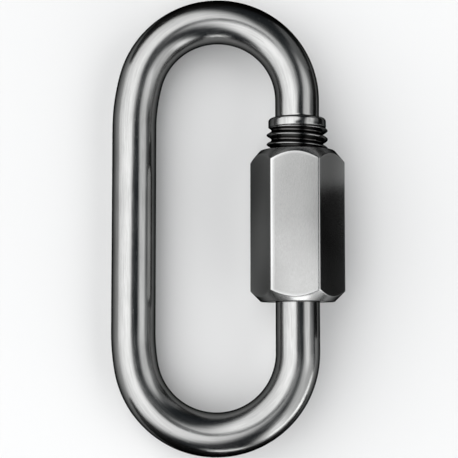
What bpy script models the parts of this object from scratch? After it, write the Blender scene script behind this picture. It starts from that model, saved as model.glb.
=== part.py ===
"""Chain quick link: a round steel rod bent into a long oval, with a hexagonal sleeve nut over its gap.

The upper end of the rod has a collar and a thread below it, and the lower end has a thread of the
same lead. The sleeve nut screws up to the collar to close the gate, and down the lower leg to open it.

Units are metres, with +Z up. In its own frame the oval lies in the XY plane with the nut on the +X
side. That frame is then tilted about Y, because the link lies on its plain leg and on its wider nut.
"""

import math

import bmesh
import bpy
import numpy as np

# Rod
WIRE_DIAMETER = 0.0080
INSIDE_LENGTH = 0.0671
INSIDE_WIDTH = 0.0217
EASE_RADIUS = 0.0350  # of the wide arc by which the plain leg runs into each bend
TOP_EASE_TURN = math.radians(15.0)
BOTTOM_EASE_TURN = math.radians(10.5)

# Thread on both ends of the rod
THREAD_CREST_DIAMETER = 0.0112
THREAD_DEPTH = 0.0009
THREAD_PITCH = 0.0017
THREAD_TURN_SIGN = 1  # 1 falls to the right as the photograph shows it, -1 falls to the left
CREST_SHARE = 0.14  # share of the pitch that is flat at the crest
ROOT_SHARE = 0.20  # share of the pitch that is flat at the root
CREST_BELOW_COLLAR = 0.0022  # from the collar's face to the crest on the outer side of the leg
LOWER_THREAD_LENGTH = 0.0090
LOWER_SHOULDER_LENGTH = 0.0008
TIP_CHAMFER = 0.0009
TIP_INSET = 0.0003  # how far the flat of each tip lies inside the root of the thread

# Collar on the upper end
COLLAR_DIAMETER = 0.0105
COLLAR_LENGTH = 0.0017
COLLAR_ROUNDING = 0.0006
THREAD_RELIEF = 0.00005  # the thread ends this far inside the collar's edge

# Sleeve nut
NUT_LENGTH = 0.0274
ACROSS_FLATS = 0.0150
CORNER_FILLET = 0.0005
BORE_CLEARANCE = 0.0003
COUNTERSINK = 0.0004
TOP_FACE_RIM = 0.0004  # width of the flat ring between the countersink and the chamfer
BOTTOM_FACE_RIM = 0.0004
TOP_CHAMFER_ANGLE = math.radians(48.0)  # measured from the end face
BOTTOM_CHAMFER_ANGLE = math.radians(45.0)
NUT_TURN = math.radians(-5.8)  # turn of the nut on its thread, where the photograph leaves it

# Travel of the nut, in turns of its thread from where it is at rest
CLOSING_TURNS = 2.5
OPENING_TURNS = 8.0
STOP_CLEARANCE = 0.00005
TIP_PROUD = 0.00025  # how far the lower tip stands out of the opened nut
GATE_GAP = 0.0100

# Fineness of the facets
RING_SIDES = 36
BEND_STEPS = 24
ROUNDING_STEPS = 4
CHAMFER_SIDES = 60
FILLET_SEGMENTS = 3
CUTTER_OVERRUN = 0.0020
MERGE_DISTANCE = 1e-6

# Worked out from the sizes above
WIRE_RADIUS = WIRE_DIAMETER / 2
LEG_SPACING = INSIDE_WIDTH + WIRE_DIAMETER
CENTRE_LINE_TOP_Y = INSIDE_LENGTH / 2 + WIRE_RADIUS
CREST_RADIUS = THREAD_CREST_DIAMETER / 2
ROOT_RADIUS = CREST_RADIUS - THREAD_DEPTH
TIP_RADIUS = ROOT_RADIUS - TIP_INSET
COLLAR_RADIUS = COLLAR_DIAMETER / 2
NUT_TOP_Y = NUT_LENGTH / 2
COLLAR_FACE_Y = NUT_TOP_Y + CLOSING_TURNS * THREAD_PITCH + STOP_CLEARANCE
LOWER_TIP_Y = NUT_TOP_Y - OPENING_TURNS * THREAD_PITCH + TIP_PROUD
UPPER_TIP_Y = LOWER_TIP_Y + GATE_GAP
LOWER_THREAD_START_Y = LOWER_TIP_Y - LOWER_THREAD_LENGTH
BORE_RADIUS = CREST_RADIUS + BORE_CLEARANCE
MOUTH_RADIUS = BORE_RADIUS + COUNTERSINK
FILLET_CENTRE_RADIUS = (ACROSS_FLATS / 2 - CORNER_FILLET) / math.cos(math.radians(30))
CORNER_RADIUS = ACROSS_FLATS / 2 / math.cos(math.radians(30))


def clear_scene():
    for obj in list(bpy.data.objects):
        bpy.data.objects.remove(obj, do_unlink=True)


def steel(name, colour, roughness):
    material = bpy.data.materials.new(name)
    material.use_nodes = True
    shader = material.node_tree.nodes["Principled BSDF"]
    shader.inputs["Base Color"].default_value = (*colour, 1.0)
    shader.inputs["Metallic"].default_value = 1.0
    shader.inputs["Roughness"].default_value = roughness
    return material


def ring_angles(sides):
    """The angles of a ring's points, with the first one again at the end."""
    return np.linspace(0.0, 2 * np.pi, sides + 1)


def add_grid(bm, grid):
    """Adds rows of points, skinned with quads. Points that meet are merged by finish_mesh."""
    rows = [[bm.verts.new(point) for point in row] for row in grid]
    for lower, upper in zip(rows, rows[1:]):
        for i in range(len(lower) - 1):
            bm.faces.new((lower[i], lower[i + 1], upper[i + 1], upper[i]))


def finish_mesh(bm, name):
    """Merges the points that meet, turns the faces outwards and makes the mesh."""
    bmesh.ops.remove_doubles(bm, verts=bm.verts[:], dist=MERGE_DISTANCE)
    bmesh.ops.dissolve_degenerate(bm, edges=bm.edges[:], dist=MERGE_DISTANCE)
    bmesh.ops.recalc_face_normals(bm, faces=bm.faces[:])
    mesh = bpy.data.meshes.new(name)
    bm.to_mesh(mesh)
    bm.free()
    return mesh


def add_object(mesh, parent=None, material=None):
    obj = bpy.data.objects.new(mesh.name, mesh)
    bpy.context.scene.collection.objects.link(obj)
    obj.parent = parent
    if material:
        mesh.materials.append(material)
    return obj


def hide_cutter(obj):
    obj.hide_render = True
    obj.display_type = "WIRE"


def turned(name, profile, sides, parent):
    """A solid turned about Y from (radius, height) pairs that start and end on the axis."""
    angles = ring_angles(sides)
    radii, heights = np.array(profile).T
    grid = np.stack(
        (
            radii[:, None] * np.cos(angles),
            heights[:, None] + np.zeros_like(angles),
            radii[:, None] * np.sin(angles),
        ),
        axis=-1,
    )
    bm = bmesh.new()
    add_grid(bm, grid)
    return add_object(finish_mesh(bm, name), parent)


# The path of the rod runs from the upper tip up the right leg, round the top bend, down the left
# leg, round the bottom bend and up the right leg again to the lower tip. Each bend is a half turn of
# two arcs, a tight one at the nut's leg and a wide one, the ease, at the plain leg.


def tight_radius(ease_turn):
    """The radius at which the tight arc and the ease together span the spacing of the legs."""
    return (LEG_SPACING - EASE_RADIUS * (1 - math.cos(ease_turn))) / (1 + math.cos(ease_turn))


TOP_RADIUS = tight_radius(TOP_EASE_TURN)
BOTTOM_RADIUS = tight_radius(BOTTOM_EASE_TURN)
UPPER_STRAIGHT = CENTRE_LINE_TOP_Y - TOP_RADIUS - UPPER_TIP_Y
LOWER_STRAIGHT = CENTRE_LINE_TOP_Y - BOTTOM_RADIUS + LOWER_TIP_Y
PLAIN_STRAIGHT = (
    2 * CENTRE_LINE_TOP_Y
    - TOP_RADIUS
    - BOTTOM_RADIUS
    - (EASE_RADIUS - TOP_RADIUS) * math.sin(TOP_EASE_TURN)
    - (EASE_RADIUS - BOTTOM_RADIUS) * math.sin(BOTTOM_EASE_TURN)
)
# The path's pieces in order: turn and radius, or no turn and the length of a straight piece
PATH_PIECES = (
    (0.0, UPPER_STRAIGHT),
    (math.pi - TOP_EASE_TURN, TOP_RADIUS),
    (TOP_EASE_TURN, EASE_RADIUS),
    (0.0, PLAIN_STRAIGHT),
    (BOTTOM_EASE_TURN, EASE_RADIUS),
    (math.pi - BOTTOM_EASE_TURN, BOTTOM_RADIUS),
    (0.0, LOWER_STRAIGHT),
)
PIECE_LENGTHS = [turn * size if turn else size for turn, size in PATH_PIECES]
PIECE_STARTS = [sum(PIECE_LENGTHS[:i]) for i in range(len(PIECE_LENGTHS))]
PATH_LENGTH = sum(PIECE_LENGTHS)


def outward_at(turn):
    turn = np.asarray(turn)
    return np.stack((np.cos(turn), np.sin(turn), np.zeros_like(turn)), axis=-1)


def path_at(distance):
    """The centre of the rod and the direction of the outer side of its bends, at these distances."""
    turn = np.zeros_like(distance)
    centre = np.zeros((*distance.shape, 3)) + (LEG_SPACING / 2, UPPER_TIP_Y, 0)
    turned = 0.0
    for (piece_turn, size), start, piece_length in zip(PATH_PIECES, PIECE_STARTS, PIECE_LENGTHS):
        done = np.clip(distance - start, 0, piece_length)
        if piece_turn:
            centre += size * (outward_at(turned + done / size) - outward_at(turned))
            turn = turn + done / size
        else:
            centre += done[..., None] * outward_at(turned + math.pi / 2)
        turned += piece_turn
    return centre, outward_at(turn)


def rod_points(distance, radius, angles):
    """Points of the rod's skin: the angle runs from the outer side towards +Z."""
    centre, outward = path_at(distance)
    face = np.array((0.0, 0.0, 1.0))
    direction = np.cos(angles)[:, None] * outward + np.sin(angles)[:, None] * face
    return centre + radius[:, None] * direction


def thread_radius(height, angles):
    """Radius of the thread at these heights up the right leg: flat crests, straight flanks, flat roots."""
    crest_height = COLLAR_FACE_Y - CREST_BELOW_COLLAR
    lead = THREAD_TURN_SIGN * angles / (2 * np.pi)
    phase = ((height - crest_height) / THREAD_PITCH - lead) % 1.0
    bounds = (0, CREST_SHARE / 2, 0.5 - ROOT_SHARE / 2, 0.5 + ROOT_SHARE / 2, 1 - CREST_SHARE / 2, 1)
    depths = (0, 0, THREAD_DEPTH, THREAD_DEPTH, 0, 0)
    radius = CREST_RADIUS - np.interp(phase, bounds, depths)
    beside_collar = COLLAR_RADIUS - THREAD_RELIEF + np.abs(COLLAR_FACE_Y - height)
    return np.minimum(radius, beside_collar)


def thread_rows(start, end, angles):
    """Rows that follow the thread's own edges round the rod, cut off square at both heights."""
    crest_height = COLLAR_FACE_Y - CREST_BELOW_COLLAR
    edges = (-CREST_SHARE / 2, CREST_SHARE / 2, 0.5 - ROOT_SHARE / 2, 0.5 + ROOT_SHARE / 2)
    first = math.floor((start - crest_height) / THREAD_PITCH) - 1
    last = math.ceil((end - crest_height) / THREAD_PITCH) + 1
    lead = THREAD_TURN_SIGN * angles / (2 * np.pi)
    rows = []
    for turn in range(first, last + 1):
        for edge in edges:
            height = np.clip(crest_height + THREAD_PITCH * (turn + edge + lead), start, end)
            rows.append((height, thread_radius(height, angles)))
    return rows


def quarter_round(radius, top, size):
    """Heights and radii of a rounded outer edge that ends size below top and size outside radius."""
    steps = np.linspace(0, np.pi / 2, ROUNDING_STEPS + 1)
    return [(top - size + size * math.sin(a), radius + size * math.cos(a)) for a in steps]


def rod_rows(angles):
    """(distance, radius) of each row of the rod, from the centre of one tip to that of the other."""
    even = np.ones_like(angles)
    rows = [(0 * even, 0 * even), (0 * even, TIP_RADIUS * even)]
    for height, radius in thread_rows(UPPER_TIP_Y + TIP_CHAMFER, COLLAR_FACE_Y, angles):
        rows.append((height - UPPER_TIP_Y, radius))

    collar_top = COLLAR_FACE_Y + COLLAR_LENGTH
    collar = [(COLLAR_FACE_Y, COLLAR_RADIUS)]
    collar += quarter_round(COLLAR_RADIUS - COLLAR_ROUNDING, collar_top, COLLAR_ROUNDING)
    collar.append((collar_top, WIRE_RADIUS))
    for height, radius in collar:
        rows.append(((height - UPPER_TIP_Y) * even, radius * even))

    for (turn, _), start, piece_length in zip(PATH_PIECES, PIECE_STARTS, PIECE_LENGTHS):
        steps = math.ceil(BEND_STEPS * turn / math.pi)
        for distance in np.linspace(start, start + piece_length, steps + 1) if steps else ():
            rows.append((distance * even, WIRE_RADIUS * even))

    below_thread = PATH_LENGTH - LOWER_THREAD_LENGTH
    rows.append(((below_thread - LOWER_SHOULDER_LENGTH) * even, WIRE_RADIUS * even))
    for height, radius in thread_rows(LOWER_THREAD_START_Y, LOWER_TIP_Y - TIP_CHAMFER, angles):
        rows.append((PATH_LENGTH - (LOWER_TIP_Y - height), radius))
    rows.append((PATH_LENGTH * even, TIP_RADIUS * even))
    rows.append((PATH_LENGTH * even, 0 * even))
    return rows


def make_link_rod(parent, material):
    angles = ring_angles(RING_SIDES)
    grid = [rod_points(distance, radius, angles) for distance, radius in rod_rows(angles)]
    bm = bmesh.new()
    add_grid(bm, grid)
    rod = add_object(finish_mesh(bm, "link_rod"), parent, material)
    rod.data.shade_smooth()
    rod.data.set_sharp_from_angle(angle=math.radians(25))
    return rod


def hexagon_blank(parent, material):
    """A hexagonal bar along Y, with one flat towards +Z and its long corners rounded."""
    half_length = NUT_LENGTH / 2 + CUTTER_OVERRUN
    corners = ring_angles(6)
    ring = np.stack((np.cos(corners), np.zeros_like(corners), np.sin(corners)), axis=-1)
    grid = []
    for end in (-half_length, half_length):
        row = CORNER_RADIUS * ring
        row[:, 1] = end
        centre = np.zeros_like(row)
        centre[:, 1] = end
        grid += [centre, row] if end < 0 else [row, centre]
    bm = bmesh.new()
    add_grid(bm, grid)
    bmesh.ops.remove_doubles(bm, verts=bm.verts[:], dist=MERGE_DISTANCE)
    long_edges = [edge for edge in bm.edges if edge.calc_length() > 1.9 * half_length]
    bmesh.ops.bevel(
        bm,
        geom=long_edges,
        affect="EDGES",
        offset=CORNER_FILLET * math.tan(math.radians(30)),
        offset_type="OFFSET",
        segments=FILLET_SEGMENTS,
        profile=0.5,
    )
    return add_object(finish_mesh(bm, "sleeve_nut"), parent, material)


def chamfer_profile():
    """The outline that the nut's blank is turned to: both end faces and their chamfers."""
    half_length = NUT_LENGTH / 2
    outer = CORNER_RADIUS + CUTTER_OVERRUN
    bottom_face = MOUTH_RADIUS + BOTTOM_FACE_RIM
    top_face = MOUTH_RADIUS + TOP_FACE_RIM
    bottom_rise = (outer - bottom_face) * math.tan(BOTTOM_CHAMFER_ANGLE)
    top_drop = (outer - top_face) * math.tan(TOP_CHAMFER_ANGLE)
    return (
        (0, -half_length),
        (bottom_face, -half_length),
        (outer, -half_length + bottom_rise),
        (outer, half_length - top_drop),
        (top_face, half_length),
        (0, half_length),
    )


def bore_profile():
    """The outline of the hole through the nut, with a countersink at each mouth."""
    half_length = NUT_LENGTH / 2
    outer = MOUTH_RADIUS + CUTTER_OVERRUN
    end = half_length + CUTTER_OVERRUN
    return (
        (0, -end),
        (outer, -end),
        (BORE_RADIUS, -half_length + COUNTERSINK),
        (BORE_RADIUS, half_length - COUNTERSINK),
        (outer, end),
        (0, end),
    )


def cut(target, cutter, operation):
    modifier = target.modifiers.new(cutter.name, "BOOLEAN")
    modifier.operation = operation
    modifier.solver = "EXACT"
    modifier.object = cutter
    hide_cutter(cutter)


def make_sleeve_nut(parent, material):
    nut = hexagon_blank(parent, material)
    nut.location = (LEG_SPACING / 2, 0, 0)
    nut.rotation_euler = (0, NUT_TURN, 0)
    cut(nut, turned("nut_chamfers", chamfer_profile(), CHAMFER_SIDES, nut), "INTERSECT")
    cut(nut, turned("nut_bore", bore_profile(), RING_SIDES, nut), "DIFFERENCE")
    nut.data.set_sharp_from_angle(angle=math.radians(25))
    return nut


def rest_on_ground():
    """How the link lies: its tilt about Y, and the place of its own frame on the ground."""
    tilt = 0.0
    for _ in range(40):
        lean = tilt - NUT_TURN
        nut_height = FILLET_CENTRE_RADIUS * math.cos(math.radians(30) - lean) + CORNER_FILLET
        tilt = math.asin((nut_height - WIRE_RADIUS) / LEG_SPACING)
    half_width = LEG_SPACING / 2 * math.cos(tilt)
    left = -half_width - WIRE_RADIUS
    right = half_width + FILLET_CENTRE_RADIUS * math.cos(lean) + CORNER_FILLET
    return tilt, (-(left + right) / 2, 0, (nut_height + WIRE_RADIUS) / 2)


def main():
    clear_scene()
    tilt, place = rest_on_ground()
    frame = bpy.data.objects.new("link_frame", None)
    bpy.context.scene.collection.objects.link(frame)
    frame.location = place
    frame.rotation_euler = (0, -tilt, 0)
    make_link_rod(frame, steel("rod_steel", (0.56, 0.57, 0.58), 0.20))
    make_sleeve_nut(frame, steel("nut_steel", (0.60, 0.61, 0.62), 0.24))


main()
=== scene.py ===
"""Chain quick link: its finished surfaces and the studio it is shown in.

The rod and the sleeve nut are surfaces worked out on grids of points, in the place of the CAD nodes.
Sizes are in metres. In the link's own frame the oval lies in the XY plane, with the nut's leg on the
+X side. That frame is tilted about Y, because the link lies on its plain leg and on its wider nut.
"""

import math
from typing import NamedTuple

import bmesh
import bpy
import numpy as np
from bpy.props import FloatProperty, FloatVectorProperty, PointerProperty
from mathutils import Matrix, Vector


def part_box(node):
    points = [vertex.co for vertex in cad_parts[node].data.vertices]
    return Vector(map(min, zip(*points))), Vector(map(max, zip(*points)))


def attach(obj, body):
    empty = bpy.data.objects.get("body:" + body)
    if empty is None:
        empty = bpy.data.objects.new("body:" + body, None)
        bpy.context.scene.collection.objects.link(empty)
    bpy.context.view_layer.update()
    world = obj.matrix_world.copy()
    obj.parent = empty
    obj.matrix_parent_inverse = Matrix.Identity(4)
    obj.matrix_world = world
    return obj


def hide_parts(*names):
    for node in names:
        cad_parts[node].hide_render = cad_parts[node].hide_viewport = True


bl_info = {
    "name": "Chain quick link",
    "version": (1, 0, 0),
    "blender": (4, 5, 0),
    "location": "3D View > Sidebar > Quick link",
    "description": "Makes a polished steel chain quick link with a hexagonal sleeve nut, and its studio",
    "category": "Add Mesh",
}

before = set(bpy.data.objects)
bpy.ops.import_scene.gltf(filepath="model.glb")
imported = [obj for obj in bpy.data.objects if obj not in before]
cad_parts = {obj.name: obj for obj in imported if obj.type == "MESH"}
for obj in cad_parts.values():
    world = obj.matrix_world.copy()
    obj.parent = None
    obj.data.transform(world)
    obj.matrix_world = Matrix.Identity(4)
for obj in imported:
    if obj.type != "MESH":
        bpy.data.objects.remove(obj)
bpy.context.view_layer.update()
ROD_LOW, ROD_HIGH = (np.array(corner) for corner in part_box("link_rod"))
NUT_LOW, NUT_HIGH = (np.array(corner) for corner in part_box("sleeve_nut"))

MILLIMETRE = 0.001

# Points of a mesh that are closer than this become one
MERGE_DISTANCE = 1e-6

# The legs' finish turns into the bends' from this far before a bend to twice as far into it
BEND_FADE = 0.002

# Lights round the link: centre, half size, turn, softness of the edge, squareness and brightness.
# Angles are in degrees from the oval's normal, across towards +X and along towards +Y
SOFTBOXES = (
    ((-46.0, 7.0), (52.0, 58.0), 3.0, 0.18, 2.7, 2.1),
    ((-35.0, 0.0), (32.0, 32.0), 0.0, 0.90, 2.0, 0.5),
    ((61.0, -30.0), (29.0, 30.0), 2.0, 0.30, 4.0, 1.35),
    ((45.0, -70.0), (13.0, 23.0), 5.0, 0.70, 2.0, 2.2),
    ((49.0, 12.0), (17.0, 19.0), -18.0, 0.40, 4.0, 1.4),
    ((70.0, 50.0), (25.0, 40.0), 0.0, 0.15, 4.0, 0.35),
    ((-5.0, -95.0), (42.0, 10.0), 0.0, 0.20, 3.0, 7.5),
    ((66.0, -67.0), (26.0, 9.0), 44.0, 0.20, 3.0, 5.0),
    ((87.0, -38.0), (20.0, 9.0), 66.0, 0.20, 3.0, 4.0),
    ((-66.0, -67.0), (24.0, 9.0), -44.0, 0.20, 3.0, 4.0),
)

# Dark band where the camera stands before the lights: the same values, with its darkness in the last place
CAMERA_SHADE = ((8.0, 4.5), (18.0, 7.2), 14.0, 0.40, 4.0, 0.97)

# Black cards just outside the picture: where each one starts and ends on the floor, and its height
CARDS = (
    ((0.046, -0.020), (0.046, 0.010), 0.016),
    ((0.046, 0.020), (0.046, 0.0448), 0.016),
    ((-0.0445, 0.0448), (0.046, 0.0448), 0.0105),
    ((-0.0445, -0.0448), (0.046, -0.0448), 0.009),
)

# From the middle of the floor to its edges
FLOOR_REACH = 3.0

# Fineness of the grids
ROD_SIDES = 112
BEND_STEPS = 90
LEG_STEPS = 14
UPPER_END_STEPS = 3
LOWER_END_STEPS = 5
THREAD_STEPS = 20
SOFTENING_STEPS = 8
ARC_STEPS = 5
FLAT_STEPS = 12
SIDE_STEPS = 30


# Sizes and finishes that a user would change


def length(name, description, default):
    return FloatProperty(
        name=name, description=description, default=default, precision=5, subtype="DISTANCE"
    )


def angle(name, description, degrees):
    return FloatProperty(name=name, description=description, default=math.radians(degrees), subtype="ANGLE")


def share(name, description, default):
    return FloatProperty(
        name=name, description=description, default=default, min=0.0, max=1.0, subtype="FACTOR"
    )


def colour(name, description, default):
    return FloatVectorProperty(
        name=name, description=description, default=default, size=3, min=0.0, max=1.0, subtype="COLOR"
    )


class RodSizes(bpy.types.PropertyGroup):
    """The bent rod with its collar"""

    wire_diameter: length("Wire diameter", "Thickness of the round rod", 0.0080)
    inside_length: length("Inside length", "Length of the opening between the two bends", 0.0671)
    ease_radius: length("Ease radius", "Radius of the wide arc at the plain leg's end of each bend", 0.0350)
    top_ease: angle("Top ease", "Turn of the wide arc of the bend at the collar's end", 15.0)
    bottom_ease: angle("Bottom ease", "Turn of the wide arc of the other bend", 10.5)
    tip_upper: length("Upper tip", "Height of the upper tip above the middle of the link", 0.01035)
    tip_lower: length("Lower tip", "Height of the lower tip above the middle of the link", 0.00035)
    lower_thread: length("Lower thread", "Length of the thread on the lower tip", 0.0090)
    shoulder: length("Shoulder", "Length of the cone between the rod and its lower thread", 0.0008)
    tip_diameter: length("Tip diameter", "Width of the flat at each tip", 0.0088)
    tip_chamfer: length("Tip chamfer", "Length of the chamfer at each tip", 0.0009)
    collar_face: length("Collar face", "Height of the collar's lower face above the middle", 0.0180)
    collar_diameter: length("Collar diameter", "Thickness of the collar above the thread", 0.0105)
    collar_length: length("Collar length", "Length of the collar", 0.0017)
    collar_rounding: length("Collar rounding", "Radius of the collar's upper edge", 0.0006)
    edge_rounding: length("Edge rounding", "Radius of the edges that look sharp", 0.00012)


class ThreadSizes(bpy.types.PropertyGroup):
    """The thread on both ends of the rod and in the nut"""

    crest_diameter: length("Crest diameter", "Thickness over the rod's thread", 0.0112)
    depth: length("Depth", "Depth of the rod's thread", 0.0009)
    pitch: length("Pitch", "Rise of the thread in one turn", 0.0017)
    crest_share: share("Crest share", "Part of the pitch that is flat at the crest", 0.14)
    root_share: share("Root share", "Part of the pitch that is flat at the root", 0.20)
    softness: share("Softness", "Part of the pitch over which the thread's edges are rounded", 0.16)
    below_collar: length("Below the collar", "From the collar to the first crest on the outer side", 0.0022)
    bore_gap: length("Bore gap", "Play between the rod's crests and the nut's thread", 0.00005)
    bore_depth: length("Bore depth", "Depth of the nut's own thread", 0.0005)


class NutSizes(bpy.types.PropertyGroup):
    """The hexagonal sleeve nut"""

    nut_length: length("Length", "Length of the nut", 0.0274)
    across_flats: length("Across flats", "Width between two opposite flats", 0.0150)
    corner_fillet: length("Corner fillet", "Radius of the six long corners", 0.0005)
    edge_rounding: length("Edge rounding", "Radius of the edges round both chamfers", 0.00026)
    top_face: length("Top face radius", "Outer radius of the flat ring at the collar's end", 0.0068)
    face_radius: length("Face radius", "Outer radius of the flat ring at the other end", 0.0067)
    mouth_radius: length("Mouth radius", "Radius of the bore's mouths", 0.0063)
    top_chamfer: angle("Top chamfer", "Slope of the chamfer at the collar's end", 50.0)
    bottom_chamfer: angle("Bottom chamfer", "Slope of the chamfer at the other end", 45.0)
    turn: angle("Turn", "How far the nut is turned on its thread", -5.8)


class SteelFinish:
    """The polished steel that both pieces share"""

    steel: colour("Steel", "Colour of the bright steel", (0.82, 0.82, 0.815))
    film: colour("Film", "Colour of the smoky film on the polish, seen straight on", (0.393, 0.394, 0.392))
    edge: colour("Edge", "Tint of the steel where it is seen at a low angle", (0.036, 0.05, 0.062))


class RodFinish(SteelFinish, bpy.types.PropertyGroup):
    """The drawn and polished rod"""

    roughness: share("Roughness", "Roughness of the straight legs", 0.14)
    bend_roughness: share("Bend roughness", "Roughness of the bends, whose skin was stretched", 0.20)
    streak: share("Streak", "How much the drawing lines spread the shine to the side", 0.5)
    # Painted shade: how dark the thread's roots are made
    root_shade: share("Grease", "How dark the grease is that the thread's roots hold", 0.75)
    # Painted shade: how much darker the whole thread is made than the rod
    thread_shade: share("Thread dulling", "How much darker the oily thread is than the rod", 0.32)


class NutFinish(SteelFinish, bpy.types.PropertyGroup):
    """The satin polished nut"""

    roughness: share("Roughness", "Roughness of the flats", 0.23)
    # Painted highlight: how far the steel is made white on the corners, the chamfers and their edges
    rub: share("Rub", "How much brighter the rubbed corners and edges are", 0.9)
    # Painted shade and light: how much darker and lighter the nut's film is in its patches
    film_darkening: share("Film left", "How much darker the film is where the nut is seldom touched", 0.12)
    film_lightening: share("Film rub", "How much lighter the film is where fingers rub it", 0.24)


class StudioLook(bpy.types.PropertyGroup):
    """The floor, the light and the camera"""

    floor: colour("Floor", "Colour of the pale floor", (0.79, 0.79, 0.79))
    gloom: colour("Gloom", "Colour of the studio between its lights", (0.024, 0.031, 0.036))
    lens: FloatProperty(
        name="Lens", description="Focal length of the camera", default=114.0, min=1.0, unit="CAMERA"
    )
    distance: length("Distance", "From the camera to the point it looks at", 0.26316)
    lean: angle("Lean", "How far the camera leans towards the plain end of the link", 4.65)
    aim_across: length("Aim across", "How far the camera aims to the nut's side of the middle", 0.002421)
    aim_along: length("Aim along", "How far the camera aims towards the collar's end", -0.000484)


# The link's own frame: the middle of the oval, and its tilt about Y


def link_place():
    """The middle of the oval, half the leg spacing and the tilt, from the boxes of the two CAD nodes.

    The plain leg touches the lowest X of the rod's box, and the nut's axis is the centre of its box.
    """
    wire = bpy.context.scene.link_rod_sizes.wire_diameter / 2
    plain_leg = np.array((ROD_LOW[0] + wire, 0.0, ROD_LOW[2] + wire))
    nut_leg = (NUT_LOW + NUT_HIGH) / 2
    across = nut_leg - plain_leg
    middle = (nut_leg + plain_leg) / 2
    middle[1] = (NUT_LOW[1] + NUT_HIGH[1]) / 2
    return middle, math.hypot(across[0], across[2]) / 2, math.atan2(across[2], across[0])


def to_shared_frame(points):
    """Turns points of the link's own frame about Y by its tilt, and moves them to the oval's middle."""
    middle, _, tilt = link_place()
    turned = points.copy()
    turned[..., 0] = math.cos(tilt) * points[..., 0] - math.sin(tilt) * points[..., 2]
    turned[..., 2] = math.sin(tilt) * points[..., 0] + math.cos(tilt) * points[..., 2]
    return turned + middle


def turn_directions(directions):
    """Turns directions of the link's own frame about Y by its tilt."""
    return to_shared_frame(directions) - link_place()[0]


# Meshes from grids


def grid_faces(rows, columns):
    """Corner numbers of the quads of a grid, row by row."""
    first = (np.arange(rows - 1)[:, None] * columns + np.arange(columns - 1)).ravel()
    return np.stack((first, first + 1, first + columns + 1, first + columns), axis=-1)


def grid_piece(name, points, vectors, body, node, material):
    """A closed piece from a grid of points whose seams and poles meet, with vector attributes.

    Points that meet become one, which closes the seams and the poles and drops the empty faces.
    """
    rows, columns = points.shape[:2]
    mesh = bpy.data.meshes.new(name)
    mesh.from_pydata(points.reshape(-1, 3).tolist(), [], grid_faces(rows, columns).tolist())
    for label, values in vectors.items():
        layer = mesh.attributes.new(label, "FLOAT_VECTOR", "POINT")
        layer.data.foreach_set("vector", values.astype(np.float32).ravel())
    bm = bmesh.new()
    bm.from_mesh(mesh)
    bmesh.ops.remove_doubles(bm, verts=bm.verts[:], dist=MERGE_DISTANCE)
    bmesh.ops.dissolve_degenerate(bm, edges=bm.edges[:], dist=MERGE_DISTANCE)
    bmesh.ops.recalc_face_normals(bm, faces=bm.faces[:])
    bm.to_mesh(mesh)
    bm.free()
    mesh.shade_smooth()
    piece = bpy.data.objects.new(name, mesh)
    bpy.context.scene.collection.objects.link(piece)
    mesh.materials.append(material)
    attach(piece, body)
    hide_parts(node)
    return piece


def unit(vectors):
    return vectors / np.linalg.norm(vectors, axis=-1, keepdims=True)


def rounded_corners(corners, radii, steps):
    """A profile with its corners rounded, for every column at once.

    corners is a list of (x, y) arrays. Each inner corner is replaced by an arc that touches both of its
    sides: it starts radius * tan(half the turn) before the corner and ends as far past it. With the
    arc's middle at lean 0, its points are centre + radius * (sin(lean) * onward - cos(lean) * inward).
    """
    corners = [np.stack(np.broadcast_arrays(*corner), axis=-1) for corner in corners]
    profile = [corners[0]]
    for before, corner, after, radius in zip(corners, corners[1:], corners[2:], radii):
        if radius == 0:
            profile.append(corner)
            continue
        arriving = unit(corner - before)
        leaving = unit(after - corner)
        cosine = np.clip((arriving * leaving).sum(axis=-1, keepdims=True), -1, 1)
        turn = np.arccos(cosine)
        reach = radius * np.tan(turn / 2)
        inward = unit(leaving - arriving)
        onward = unit(arriving + leaving)
        centre = corner + inward * np.hypot(reach, radius)
        for step in np.linspace(-0.5, 0.5, steps + 1):
            lean = turn * step
            profile.append(centre + radius * (np.sin(lean) * onward - np.cos(lean) * inward))
    profile.append(corners[-1])
    return np.array(profile)


# Rod


def thread_depth(phase, thread):
    """Depth below the crest at a phase of the pitch: flat crest, straight flanks and flat root.

    The outline is averaged over a short part of the pitch, which rounds its edges.
    """
    bounds = (
        0,
        thread.crest_share / 2,
        0.5 - thread.root_share / 2,
        0.5 + thread.root_share / 2,
        1 - thread.crest_share / 2,
        1,
    )
    shifts = np.linspace(-thread.softness / 2, thread.softness / 2, SOFTENING_STEPS + 1)
    depths = [np.interp((phase + shift) % 1.0, bounds, (0, 0, 1, 1, 0, 0)) for shift in shifts]
    return thread.depth * np.mean(depths, axis=0)


def helix_heights(start, end, angles, thread, rod):
    """Heights of rows that climb one pitch per turn, cut off at start and end."""
    crest_height = rod.collar_face - thread.below_collar
    first = math.floor((start - crest_height) / thread.pitch) - 1
    last = math.ceil((end - crest_height) / thread.pitch) + 1
    turns = first + np.arange((last - first) * THREAD_STEPS + 1) / THREAD_STEPS
    heights = crest_height + thread.pitch * (turns[:, None] + angles / (2 * np.pi))
    return np.clip(heights, start, end)


def thread_phase(heights, angles, thread, rod):
    """Place in the pitch at a height and an angle, from 0 to 1. The crest is at 0."""
    crest_height = rod.collar_face - thread.below_collar
    return ((heights - crest_height) / thread.pitch - angles / (2 * np.pi)) % 1.0


def collar_face_start(rod):
    """Radius at which the flat lower face of the collar starts, a little inside its rounded rim."""
    return rod.collar_diameter / 2 - 1.5 * rod.edge_rounding


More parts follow.
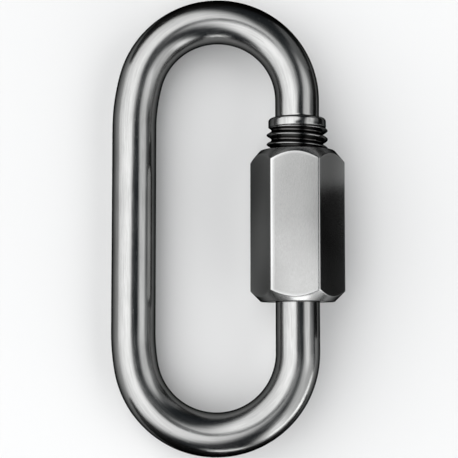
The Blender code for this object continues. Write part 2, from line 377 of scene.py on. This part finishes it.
def thread_radius(heights, angles, thread, rod):
    """Radius of the rod's thread, limited by cones at the collar, at both tips and at the shoulder."""
    wire = rod.wire_diameter / 2
    crest = thread.crest_diameter / 2
    radius = crest - thread_depth(thread_phase(heights, angles, thread, rod), thread)
    tip_slope = (crest - rod.tip_diameter / 2) / rod.tip_chamfer
    tip_distance = np.where(heights > rod.tip_lower, heights - rod.tip_upper, rod.tip_lower - heights)
    radius = np.minimum(radius, rod.tip_diameter / 2 + tip_slope * tip_distance)
    radius = np.minimum(radius, collar_face_start(rod) + np.abs(rod.collar_face - heights))
    shoulder_start = rod.tip_lower - rod.lower_thread - rod.shoulder
    shoulder_slope = (crest - wire) / rod.shoulder
    return np.minimum(radius, wire + shoulder_slope * np.abs(heights - shoulder_start))


def tight_radius(spacing, ease_radius, ease_turn):
    """Radius at which a bend's tight arc and its ease together span the legs.

    A half turn of both arcs moves across by tight * (1 + cos ease turn) + ease * (1 - cos ease turn).
    """
    return (spacing - ease_radius * (1 - math.cos(ease_turn))) / (1 + math.cos(ease_turn))


def rod_pieces(rod):
    """The rod's path in order: (turn, radius) of each arc, and (0, length) of each straight piece.

    It runs from the upper tip up the nut's leg, round the top bend, down the plain leg and round the
    bottom bend up to the lower tip. Each bend is a tight arc at the nut's leg and an ease at the other.
    """
    spacing = 2 * link_place()[1]
    ease = rod.ease_radius
    reach = (rod.inside_length + rod.wire_diameter) / 2
    top, bottom = (tight_radius(spacing, ease, turn) for turn in (rod.top_ease, rod.bottom_ease))
    eases = (ease - top) * math.sin(rod.top_ease) + (ease - bottom) * math.sin(rod.bottom_ease)
    return (
        (0.0, reach - top - rod.tip_upper),
        (math.pi - rod.top_ease, top),
        (rod.top_ease, ease),
        (0.0, 2 * reach - top - bottom - eases),
        (rod.bottom_ease, ease),
        (math.pi - rod.bottom_ease, bottom),
        (0.0, reach - bottom + rod.tip_lower),
    )


def piece_starts(pieces):
    """Distance along the rod at which each piece of its path starts, and at which the last one ends."""
    lengths = [turn * size if turn else size for turn, size in pieces]
    return np.concatenate(((0.0,), np.cumsum(lengths)))


def rod_stations(angles, rod, thread, pieces):
    """(distance along the rod, radius) of every grid point, from the centre of one tip to the other's."""
    wire = rod.wire_diameter / 2
    starts = piece_starts(pieces)
    end = starts[-1]
    even = np.ones_like(angles)

    upper = helix_heights(rod.tip_upper, rod.collar_face, angles, thread, rod)
    blocks = [
        (np.zeros((1, angles.size)), np.zeros((1, angles.size))),
        (upper - rod.tip_upper, thread_radius(upper, angles, thread, rod)),
    ]

    collar = rod.collar_diameter / 2
    collar_top = rod.collar_face + rod.collar_length
    fillet_top = collar_top + 4 * rod.edge_rounding
    corners = [
        (collar_face_start(rod), rod.collar_face),
        (collar, rod.collar_face),
        (collar, collar_top),
        (wire, collar_top),
        (wire, fillet_top),
    ]
    rounding = (rod.edge_rounding, rod.collar_rounding, 2 * rod.edge_rounding)
    outline = rounded_corners(corners, rounding, ARC_STEPS)
    blocks.append(((outline[:, 1:] - rod.tip_upper) * even, outline[:, :1] * even))

    shoulder = end - rod.lower_thread - rod.shoulder
    plain = [
        np.linspace(fillet_top - rod.tip_upper, starts[1], UPPER_END_STEPS + 1)[1:-1],
        np.linspace(starts[-2], shoulder, LOWER_END_STEPS + 1)[1:-1],
    ]
    for (turn, _), start, stop in zip(pieces[1:-1], starts[1:], starts[2:]):
        steps = math.ceil(BEND_STEPS * turn / math.pi) or LEG_STEPS
        plain.append(np.linspace(start, stop, steps + 1))
    plain = np.unique(np.concatenate(plain))
    blocks.append((plain[:, None] * even, wire * np.ones((plain.size, angles.size))))

    lower_start = rod.tip_lower - rod.lower_thread - rod.shoulder
    lower = helix_heights(lower_start, rod.tip_lower, angles, thread, rod)
    blocks.append((end - (rod.tip_lower - lower), thread_radius(lower, angles, thread, rod)))
    blocks.append((end * even[None], 0 * even[None]))
    return [np.concatenate(parts) for parts in zip(*blocks)]


def outward_at(turn):
    return np.stack((np.cos(turn), np.sin(turn), np.zeros_like(turn)), axis=-1)


def rod_path(distances, pieces, start):
    """Centre line of the rod, and the direction of its outer side.

    Along an arc the centre moves by radius * (outward after - outward before), and along a straight
    piece by its length, a quarter turn ahead of outward.
    """
    turn = np.zeros_like(distances)
    centre = np.zeros((*distances.shape, 3)) + start
    turned = 0.0
    starts = piece_starts(pieces)
    for (piece_turn, size), begin, stop in zip(pieces, starts, starts[1:]):
        done = np.clip(distances - begin, 0, stop - begin)
        if piece_turn:
            centre += size * (outward_at(turned + done / size) - outward_at(turned))
            turn = turn + done / size
        else:
            centre += done[..., None] * outward_at(turned + math.pi / 2)
        turned += piece_turn
    return centre, outward_at(turn)


def rod_bends(distances, pieces):
    """1 in both bends and 0 on the legs, with a soft change where they meet."""
    starts = piece_starts(pieces)
    bends = np.zeros_like(distances)
    for begin, end in ((starts[1], starts[3]), (starts[4], starts[6])):
        edges = (begin - BEND_FADE, begin + 2 * BEND_FADE, end - 2 * BEND_FADE, end + BEND_FADE)
        bends += np.interp(distances, edges, (0, 1, 1, 0))
    return bends


def rod_threads(distances, rod, end):
    """1 on both threads and 0 elsewhere."""
    upper = rod.collar_face - rod.tip_upper
    lower = end - rod.lower_thread - rod.shoulder
    return ((distances < upper - 2 * rod.edge_rounding) | (distances > lower)).astype(float)


def make_rod():
    """The rod, with what its material needs at each point.

    straightened is the point on the rod as if it were straight, in millimetres, around is the direction
    round the rod, and zones is 1 in the bends for X and on the threads for Y.
    """
    scene = bpy.context.scene
    rod, thread = scene.link_rod_sizes, scene.link_thread_sizes
    pieces = rod_pieces(rod)
    angles = np.linspace(0, 2 * np.pi, ROD_SIDES + 1)
    distances, radii = rod_stations(angles, rod, thread, pieces)
    centre, outward = rod_path(distances, pieces, (link_place()[1], rod.tip_upper, 0.0))
    face = np.array((0.0, 0.0, 1.0))
    across, up = np.cos(angles)[:, None], np.sin(angles)[:, None]
    points = centre + radii[..., None] * (across * outward + up * face)
    straight = np.stack((radii * np.cos(angles), radii * np.sin(angles), distances), axis=-1) / MILLIMETRE
    around = -up * outward + across * face
    bends = rod_bends(distances, pieces)
    threads = rod_threads(distances, rod, distances.max())
    zones = np.stack((bends, threads, np.zeros_like(bends)), axis=-1)
    points = to_shared_frame(points)
    vectors = {"straightened": straight, "around": turn_directions(around), "zones": zones}
    material = rod_steel_material()
    return grid_piece("bent_rod", points, vectors, "link", "link_rod", material)


# Sleeve nut


def hexagon_columns(nut):
    """Outer radius and angle of each column of the nut, once round, and 1 on its rounded corners.

    Along a flat the point slides at a fixed distance from the axis. Round a corner it is the corner's
    centre plus the fillet radius in a direction that turns through 60 degrees.
    """
    flat = nut.across_flats / 2
    inner = flat - nut.corner_fillet
    half_flat = inner * math.tan(math.radians(30))
    margin = 2 * nut.edge_rounding
    inner_flat = np.linspace(-half_flat + margin, half_flat - margin, FLAT_STEPS + 1)
    slide = np.concatenate(((-half_flat,), inner_flat, (half_flat,)))
    flat_points = np.stack((np.full_like(slide, flat), slide), axis=-1)
    lean = np.radians(np.linspace(0, 60, 2 * ARC_STEPS + 1)[1:-1])
    corner_points = np.stack(
        (inner + nut.corner_fillet * np.cos(lean), half_flat + nut.corner_fillet * np.sin(lean)), axis=-1
    )
    side = np.concatenate((flat_points, corner_points))
    radius = np.hypot(side[:, 0], side[:, 1])
    around = np.arctan2(side[:, 1], side[:, 0])
    flats = np.radians(30 + 60 * np.arange(6))
    angles = (flats[:, None] + around).ravel()
    corner = np.ones_like(radius)
    corner[1 : FLAT_STEPS + 2] = 0
    columns = [np.append(np.tile(values, 6), values[0]) for values in (radius, corner)]
    return columns[0], np.append(angles, angles[0] + 2 * np.pi), columns[1]


def bore_radius(heights, angles, nut, thread, rod):
    """Radius of the nut's own thread, in step with the rod's and widened by a cone at each mouth."""
    depth_share = thread_depth(thread_phase(heights, angles, thread, rod), thread) / thread.depth
    inner = thread.crest_diameter / 2 + thread.bore_gap
    radius = inner + thread.bore_depth * (1 - depth_share)
    mouth = nut.mouth_radius - (nut.nut_length / 2 - np.abs(heights))
    return np.maximum(radius, mouth)


def make_nut():
    """The nut. Its attribute for the highlight is 1 for X on the long corners, the chamfers and their
    edges, where the steel is painted white as a highlight.
    """
    scene = bpy.context.scene
    nut, thread, rod = scene.link_nut_sizes, scene.link_thread_sizes, scene.link_rod_sizes
    half = nut.nut_length / 2
    radius, angles, corner = hexagon_columns(nut)
    angles = angles - nut.turn
    even = np.ones_like(radius)
    outer_drop = (radius - nut.top_face) * math.tan(nut.top_chamfer)
    outer_rise = (radius - nut.face_radius) * math.tan(nut.bottom_chamfer)
    corners = [
        (nut.mouth_radius * even, half * even),
        (nut.top_face * even, half * even),
        (radius, half - outer_drop),
        (radius, -half + outer_rise),
        (nut.face_radius * even, -half * even),
        (nut.mouth_radius * even, -half * even),
    ]
    outline = rounded_corners(corners, (nut.edge_rounding,) * 4, ARC_STEPS)
    side_start = 2 * (ARC_STEPS + 1)
    top_edge, bottom_edge = outline[side_start], outline[side_start + 1]
    margin = 2 * nut.edge_rounding / nut.nut_length
    steps = np.linspace(margin, 1 - margin, SIDE_STEPS)[:, None, None]
    side = top_edge + (bottom_edge - top_edge) * steps
    outside = np.concatenate((outline[: side_start + 1], side, outline[side_start + 1 :]))
    bore_heights = helix_heights(-half, half, angles, thread, rod)
    bore = np.stack((bore_radius(bore_heights, angles, nut, thread, rod), bore_heights), axis=-1)
    profile = np.concatenate((outside, bore))
    radii, heights = profile[..., 0], profile[..., 1]
    points = np.stack((radii * np.cos(angles), heights, radii * np.sin(angles)), axis=-1)
    points[..., 0] += link_place()[1]
    # Painted highlight: 1 on the long corners, and on both chamfers and their rounded edges
    highlighted = np.zeros(points.shape)
    highlighted[: len(outside), :, 0] = corner
    highlighted[1 : side_start + 1, :, 0] = 1
    highlighted[side_start + SIDE_STEPS + 1 : len(outside) - 1, :, 0] = 1
    points = to_shared_frame(points)
    vectors = {"highlighted": highlighted}
    material = nut_steel_material()
    return grid_piece("hexagonal_sleeve", points, vectors, "nut", "sleeve_nut", material)


# Materials


class Texture(NamedTuple):
    """A noise: its scale, how it is squeezed and shifted along each axis, its detail and its roughness."""

    scale: float
    squeeze: tuple = (1.0, 1.0, 1.0)
    shift: tuple = (0.0, 0.0, 0.0)
    detail: float = 2.0
    roughness: float = 0.5


# On the straightened rod, in millimetres with Z along it
DRAWING_LINES = Texture(3.6, squeeze=(1.0, 1.0, 0.05), detail=3.0, roughness=0.7)
ROD_CLOUDS = Texture(0.35, squeeze=(1.0, 1.0, 0.4))
PITS = Texture(3.1, detail=1.0)

# On the nut and the floor, in metres
GRAIN = Texture(9000.0, squeeze=(1.0, 0.25, 1.0))
NUT_CLOUDS = Texture(160.0, detail=1.0)
# Patches of film on the nut, placed to paint light and shade: the middle flat lighter towards its bottom
FILM_PATCHES = Texture(60.0, squeeze=(1.0, 0.5, 1.0), detail=1.0)
WAVES = Texture(75.0, squeeze=(1.0, 0.8, 1.0), shift=(0.0, 0.3, 0.1), detail=0.0)
FLOOR_CLOUDS = Texture(6.0)

# A finish is lighter and rougher where its tone is high: the fine texture's share of the tone, the tones
# at which that change starts and ends, and what colour and roughness are multiplied by there
FINE_SHARE = 0.6
TONE_RANGE = (0.35, 0.65)
ROD_TONES, ROD_ROUGHNESS = (0.88, 1.09), (0.85, 1.15)
NUT_TONES, NUT_ROUGHNESS = (0.95, 1.03), (0.92, 1.08)
FLOOR_TONES = (0.99, 1.01)

# Noise values from which there is a pit in the rod, and over which the nut's film turns from its darker to
# its lighter patches of painted light and shade
PIT_RANGE = (0.76, 0.80)
FILM_PATCH_RANGE = (0.38, 0.62)

# Depths in metres: pits, of which the drawing lines have a share, the nut's grain and its soft waves
PIT_DEPTH = 0.000016
LINE_SHARE = 0.25
GRAIN_DEPTH = 0.000003
WAVE_DEPTH = 0.0004

# Colour of the painted shade in the thread's roots
ROOT_SHADE_COLOUR = (0.05, 0.045, 0.04, 1.0)
# Colour of the painted shade over the whole thread
THREAD_SHADE_COLOUR = (0.06, 0.058, 0.055, 1.0)

# Painted shade lies in the thread's roots: it starts and is full this far above the rod's plain skin, and
# it thins out and ends this far above the roots, in millimetres
ROOT_SHADE_RISE = (0.1, 0.5)
ROOT_SHADE_FALL = (0.05, 0.5)

WHITE = (1.0, 1.0, 1.0, 1.0)
CARD_BLACK = (0.01, 0.01, 0.01, 1.0)
FLOOR_ROUGHNESS = 0.9
FLOOR_SPECULAR = 0.2


class Nodes:
    """Short ways to add and join nodes, in a new material of a given name or in a given tree."""

    def __init__(self, name=None, tree=None):
        if name:
            self.material = bpy.data.materials.new(name)
            self.material.use_nodes = True
            tree = self.material.node_tree
            self.shader = tree.nodes["Principled BSDF"]
        self.tree = tree

    def add(self, kind, settings=None, **inputs):
        """Adds a node. Each input goes by its name, or by s0, s1 and so on for its place."""
        node = self.tree.nodes.new(kind)
        for key, value in (settings or {}).items():
            setattr(node, key, value)
        for key, value in inputs.items():
            self.feed(node, key.replace("_", " "), value)
        return node

    def feed(self, node, key, value):
        """Links a socket to an input, or sets the input to a value."""
        if isinstance(key, str) and key[0] == "s" and key[1:].isdigit():
            key = int(key[1:])
        socket = node.inputs[key]
        if isinstance(value, bpy.types.NodeSocket):
            self.tree.links.new(value, socket)
        else:
            socket.default_value = value

    def attribute(self, label):
        return self.add("ShaderNodeAttribute", {"attribute_name": label}).outputs["Vector"]

    def position(self):
        return self.add("ShaderNodeTexCoord").outputs["Object"]

    def turned(self, vector, angle):
        """A vector turned about Y."""
        return self.add("ShaderNodeMapping", Vector=vector, Rotation=(0.0, angle, 0.0)).outputs["Vector"]

    def noise(self, vector, texture):
        placed = self.add(
            "ShaderNodeMapping", Vector=vector, Location=texture.shift, Scale=texture.squeeze
        ).outputs["Vector"]
        node = self.add(
            "ShaderNodeTexNoise",
            Vector=placed,
            Scale=texture.scale,
            Detail=texture.detail,
            Roughness=texture.roughness,
        )
        return node.outputs["Fac"]

    def ranged(self, value, low, high, new_low, new_high):
        """new_low up to low, new_high from high on, and a smooth step between them."""
        node = self.add("ShaderNodeMapRange", {"interpolation_type": "SMOOTHSTEP"})
        for key, number in zip(
            ("Value", "From Min", "From Max", "To Min", "To Max"), (value, low, high, new_low, new_high)
        ):
            self.feed(node, key, number)
        return node.outputs["Result"]

    def calculate(self, operation, first, second=0.0):
        return self.add("ShaderNodeMath", {"operation": operation}, s0=first, s1=second).outputs["Value"]

    def mixed(self, factor, first, second):
        """A mix of two colours, which are the inputs 6 and 7 of the mix node, with output 2."""
        node = self.add("ShaderNodeMix", {"data_type": "RGBA"}, s0=factor, s6=first, s7=second)
        return node.outputs[2]

    def bump(self, height, distance, normal=None):
        node = self.add("ShaderNodeBump", Height=height, Distance=distance, Strength=1.0)
        if normal:
            self.feed(node, "Normal", normal)
        return node.outputs["Normal"]


def steel(nodes, finish):
    """Bright metal under a thin smoky film, which darkens it most where it is seen at a low angle."""
    nodes.shader.inputs["Metallic"].default_value = 1.0
    nodes.shader.inputs["Specular Tint"].default_value = (*finish.edge, 1.0)
    nodes.shader.inputs["Coat Weight"].default_value = 1.0
    nodes.shader.inputs["Coat IOR"].default_value = 1.0
    nodes.shader.inputs["Coat Tint"].default_value = (*finish.film, 1.0)


def shaded(paint, factor):
    return (*(channel * factor for channel in paint), 1.0)


def polish_tone(nodes, fine, clouds):
    """A fine texture with soft clouds, from which a finish takes its lighter and darker places."""
    fine = nodes.calculate("MULTIPLY", fine, FINE_SHARE)
    clouds = nodes.calculate("MULTIPLY", clouds, 1 - FINE_SHARE)
    return nodes.calculate("ADD", fine, clouds)


def toned(nodes, tone, paint, factors):
    """A colour times the first factor where the tone is low, and times the second where it is high."""
    low, high = (shaded(paint, factor) for factor in factors)
    return nodes.mixed(nodes.ranged(tone, *TONE_RANGE, 0.0, 1.0), low, high)


def root_shade_amount(nodes, straight, finish):
    """Painted shade between the threads of the rod, from the distance of a point to the rod's centre line.
    """
    rod, thread = bpy.context.scene.link_rod_sizes, bpy.context.scene.link_thread_sizes
    skin = rod.wire_diameter / 2 / MILLIMETRE
    root = (thread.crest_diameter / 2 - thread.depth) / MILLIMETRE
    flat = nodes.add("ShaderNodeVectorMath", {"operation": "MULTIPLY"}, s0=straight, s1=(1.0, 1.0, 0.0))
    radius = nodes.add("ShaderNodeVectorMath", {"operation": "LENGTH"}, s0=flat.outputs["Vector"])
    radius = radius.outputs["Value"]
    risen = nodes.ranged(radius, *(skin + height for height in ROOT_SHADE_RISE), 0.0, finish.root_shade)
    left = nodes.ranged(radius, *(root + height for height in ROOT_SHADE_FALL), 1.0, 0.0)
    return nodes.calculate("MULTIPLY", risen, left)


def rod_steel_material():
    """Drawn and polished rod: faint lines along it, soft clouds, duller bends, painted shade over its
    thread and more in the thread's roots.
    """
    finish = bpy.context.scene.link_rod_finish
    nodes = Nodes("rod_polished_steel")
    steel(nodes, finish)
    straight = nodes.attribute("straightened")
    lines = nodes.noise(straight, DRAWING_LINES)
    tone = polish_tone(nodes, lines, nodes.noise(straight, ROD_CLOUDS))
    zones = nodes.add("ShaderNodeSeparateXYZ", Vector=nodes.attribute("zones"))
    # Painted shade: the thread is darkened towards a near black
    darkened = nodes.calculate("MULTIPLY", zones.outputs["Y"], finish.thread_shade)
    base = nodes.mixed(darkened, toned(nodes, tone, finish.steel, ROD_TONES), THREAD_SHADE_COLOUR)
    # Painted shade in the thread's roots
    base = nodes.mixed(root_shade_amount(nodes, straight, finish), base, ROOT_SHADE_COLOUR)
    nodes.feed(nodes.shader, "Base Color", base)
    rough = nodes.ranged(zones.outputs["X"], 0.0, 1.0, finish.roughness, finish.bend_roughness)
    rough = nodes.calculate("MULTIPLY", rough, nodes.ranged(tone, *TONE_RANGE, *ROD_ROUGHNESS))
    nodes.feed(nodes.shader, "Roughness", rough)
    nodes.shader.inputs["Anisotropic"].default_value = finish.streak
    nodes.feed(nodes.shader, "Tangent", nodes.attribute("around"))
    skin = nodes.ranged(nodes.noise(straight, PITS), *PIT_RANGE, 1.0, 0.0)
    skin = nodes.calculate("ADD", nodes.calculate("MULTIPLY", lines, LINE_SHARE), skin)
    nodes.feed(nodes.shader, "Normal", nodes.bump(skin, PIT_DEPTH))
    return nodes.material


def nut_steel_material():
    """Satin polished nut: fine grain, soft waves, a painted highlight in white on its corners and chamfer
    edges, and a film whose darker and lighter patches paint light and shade on the flats.
    """
    finish = bpy.context.scene.link_nut_finish
    nodes = Nodes("nut_satin_steel")
    steel(nodes, finish)
    place = nodes.turned(nodes.position(), link_place()[2])
    grain = nodes.noise(place, GRAIN)
    tone = polish_tone(nodes, grain, nodes.noise(place, NUT_CLOUDS))
    # Painted highlight: the steel turns white on the corners and chamfer edges, so that they shine brighter
    highlighted = nodes.add("ShaderNodeSeparateXYZ", Vector=nodes.attribute("highlighted")).outputs["X"]
    bright = nodes.calculate("MULTIPLY", highlighted, finish.rub)
    base = nodes.mixed(bright, toned(nodes, tone, finish.steel, NUT_TONES), WHITE)
    nodes.feed(nodes.shader, "Base Color", base)
    rough = nodes.ranged(tone, *TONE_RANGE, *(finish.roughness * factor for factor in NUT_ROUGHNESS))
    nodes.feed(nodes.shader, "Roughness", rough)
    # Painted light and shade: darker and lighter patches of film, which make parts of the flats lighter
    thin = nodes.ranged(nodes.noise(place, FILM_PATCHES), *FILM_PATCH_RANGE, 0.0, 1.0)
    dark_film = shaded(finish.film, 1 - finish.film_darkening)
    light_film = shaded(finish.film, 1 + finish.film_lightening)
    nodes.feed(nodes.shader, "Coat Tint", nodes.mixed(thin, dark_film, light_film))
    wavy = nodes.bump(nodes.noise(place, WAVES), WAVE_DEPTH)
    nodes.feed(nodes.shader, "Normal", nodes.bump(grain, GRAIN_DEPTH, normal=wavy))
    return nodes.material


def floor_material():
    """Pale matt floor with a very faint unevenness in its colour."""
    look = bpy.context.scene.link_studio_look
    nodes = Nodes("studio_floor")
    low, high = (shaded(look.floor, factor) for factor in FLOOR_TONES)
    clouds = nodes.noise(nodes.position(), FLOOR_CLOUDS)
    nodes.feed(nodes.shader, "Base Color", nodes.mixed(clouds, low, high))
    nodes.shader.inputs["Roughness"].default_value = FLOOR_ROUGHNESS
    nodes.shader.inputs["Specular IOR Level"].default_value = FLOOR_SPECULAR
    return nodes.material


# Studio


def make_floor():
    reach = FLOOR_REACH
    mesh = bpy.data.meshes.new("studio_floor")
    corners = [(-reach, -reach, 0), (reach, -reach, 0), (reach, reach, 0), (-reach, reach, 0)]
    mesh.from_pydata(corners, [], [(0, 1, 2, 3)])
    mesh.materials.append(floor_material())
    floor = bpy.data.objects.new("studio_floor", mesh)
    bpy.context.scene.collection.objects.link(floor)


def make_world():
    """Soft boxes round the link, as shapes in the world.

    A direction is given by the two angles by which it leans from the oval's normal, in degrees: across
    towards +X and along towards +Y, so that its distance from (0, 0) is its whole lean.
    """
    look = bpy.context.scene.link_studio_look
    world = bpy.data.worlds.new("studio")
    world.use_nodes = True
    bpy.context.scene.world = world
    nodes = Nodes(tree=world.node_tree)
    direction = nodes.turned(nodes.add("ShaderNodeTexCoord").outputs["Generated"], link_place()[2])
    parts = nodes.add("ShaderNodeSeparateXYZ", Vector=direction)
    lean = nodes.calculate("ARCCOSINE", parts.outputs["Z"])
    flat = nodes.add("ShaderNodeCombineXYZ", X=parts.outputs["X"], Y=parts.outputs["Y"]).outputs["Vector"]
    aside = nodes.add("ShaderNodeVectorMath", {"operation": "NORMALIZE"}, s0=flat).outputs["Vector"]
    degrees = nodes.calculate("MULTIPLY", lean, 180 / math.pi)
    bearing = nodes.add("ShaderNodeVectorMath", {"operation": "SCALE"}, s0=aside, Scale=degrees)
    bearing = bearing.outputs["Vector"]
    light = 0.0
    for shape in SOFTBOXES:
        light = nodes.calculate("ADD", light, soft_shape(nodes, bearing, *shape))
    unshaded = nodes.calculate("SUBTRACT", 1.0, soft_shape(nodes, bearing, *CAMERA_SHADE))
    light = nodes.calculate("MULTIPLY", light, unshaded)
    glow = nodes.add("ShaderNodeVectorMath", {"operation": "ADD"}, s0=light, s1=look.gloom)
    nodes.feed(world.node_tree.nodes["Background"], "Color", glow.outputs["Vector"])


def soft_shape(nodes, bearing, centre, half_size, turn, softness, squareness, level):
    """A rounded shape of light. Its brightness falls smoothly from level to 0 across its soft edge.

    The edge is where |x / half width| ** squareness + |y / half height| ** squareness = 1: an ellipse
    at 2, and almost a rectangle at 4.
    """
    offset = nodes.add("ShaderNodeVectorMath", {"operation": "SUBTRACT"}, s0=bearing, s1=(*centre, 0.0))
    local = nodes.add(
        "ShaderNodeVectorRotate",
        {"rotation_type": "Z_AXIS"},
        Vector=offset.outputs["Vector"],
        Angle=math.radians(-turn),
    ).outputs["Vector"]
    parts = nodes.add("ShaderNodeVectorMath", {"operation": "DIVIDE"}, s0=local, s1=(*half_size, 1.0))
    parts = nodes.add("ShaderNodeVectorMath", {"operation": "ABSOLUTE"}, s0=parts.outputs["Vector"])
    parts = nodes.add("ShaderNodeSeparateXYZ", Vector=parts.outputs["Vector"])
    powers = [nodes.calculate("POWER", parts.outputs[axis], squareness) for axis in "XY"]
    reach = nodes.calculate("POWER", nodes.calculate("ADD", *powers), 1 / squareness)
    return nodes.ranged(reach, 1 - softness, 1 + softness, level, 0.0)


def make_cards():
    """Upright black cards round the link, just outside the picture, that show only in the steel."""
    nodes = Nodes("card_black")
    nodes.shader.inputs["Base Color"].default_value = CARD_BLACK
    nodes.shader.inputs["Roughness"].default_value = 1.0
    nodes.shader.inputs["Specular IOR Level"].default_value = 0.0
    corners, faces = [], []
    for start, end, height in CARDS:
        faces.append(tuple(range(len(corners), len(corners) + 4)))
        corners += [(*start, 0), (*end, 0), (*end, height), (*start, height)]
    mesh = bpy.data.meshes.new("black_cards")
    mesh.from_pydata(corners, [], faces)
    mesh.materials.append(nodes.material)
    cards = bpy.data.objects.new("black_cards", mesh)
    for ray in ("camera", "diffuse", "shadow"):
        setattr(cards, "visible_" + ray, False)
    bpy.context.scene.collection.objects.link(cards)


def make_camera():
    """The camera stands over the oval's middle and leans towards its plain end, as in the photograph."""
    look = bpy.context.scene.link_studio_look
    aim = to_shared_frame(np.array((look.aim_across, look.aim_along, 0.0)))
    back = turn_directions(np.array((0.0, -math.sin(look.lean), math.cos(look.lean))))
    up = turn_directions(np.array((0.0, math.cos(look.lean), math.sin(look.lean))))
    right = np.cross(up, back)
    turn = np.eye(4)
    turn[:3, 0], turn[:3, 1], turn[:3, 2] = right, up, back
    turn[:3, 3] = aim + look.distance * back
    camera = bpy.data.objects.new("camera", bpy.data.cameras.new("camera"))
    camera.data.lens = look.lens
    camera.matrix_world = Matrix(turn.tolist())
    bpy.context.scene.collection.objects.link(camera)
    bpy.context.scene.camera = camera


# Operators and panel


class QUICKLINK_OT_make_rod(bpy.types.Operator):
    """Make the bent rod with its collar and threads"""

    bl_idname = "quicklink.make_rod"
    bl_label = "Bent rod"

    def execute(self, context):
        make_rod()
        return {"FINISHED"}


class QUICKLINK_OT_make_nut(bpy.types.Operator):
    """Make the hexagonal sleeve nut"""

    bl_idname = "quicklink.make_nut"
    bl_label = "Sleeve nut"

    def execute(self, context):
        make_nut()
        return {"FINISHED"}


class QUICKLINK_OT_make_studio(bpy.types.Operator):
    """Make the floor, the lights and the camera"""

    bl_idname = "quicklink.make_studio"
    bl_label = "Studio"

    def execute(self, context):
        context.scene.view_settings.view_transform = "Standard"
        make_floor()
        make_world()
        make_cards()
        make_camera()
        return {"FINISHED"}


class QUICKLINK_PT_panel(bpy.types.Panel):
    """Lists the pieces and the studio"""

    bl_idname = "QUICKLINK_PT_panel"
    bl_label = "Chain quick link"
    bl_space_type = "VIEW_3D"
    bl_region_type = "UI"
    bl_category = "Quick link"

    def draw(self, context):
        for operator in OPERATORS:
            self.layout.operator(operator.bl_idname)
        for settings in SETTINGS:
            group = getattr(context.scene, settings)
            box = self.layout.box()
            for key in group.bl_rna.properties.keys():
                if key not in ("rna_type", "name"):
                    box.prop(group, key)


OPERATORS = (QUICKLINK_OT_make_rod, QUICKLINK_OT_make_nut, QUICKLINK_OT_make_studio)
SETTINGS = {
    "link_rod_sizes": RodSizes,
    "link_thread_sizes": ThreadSizes,
    "link_nut_sizes": NutSizes,
    "link_rod_finish": RodFinish,
    "link_nut_finish": NutFinish,
    "link_studio_look": StudioLook,
}
CLASSES = (*SETTINGS.values(), *OPERATORS, QUICKLINK_PT_panel)


def register():
    for cls in CLASSES:
        bpy.utils.register_class(cls)
    for name, group in SETTINGS.items():
        setattr(bpy.types.Scene, name, PointerProperty(type=group))


def unregister():
    for name in SETTINGS:
        delattr(bpy.types.Scene, name)
    for cls in reversed(CLASSES):
        bpy.utils.unregister_class(cls)


def main():
    register()
    bpy.ops.quicklink.make_rod()
    bpy.ops.quicklink.make_nut()
    bpy.ops.quicklink.make_studio()


if __name__ == "__main__":
    main()
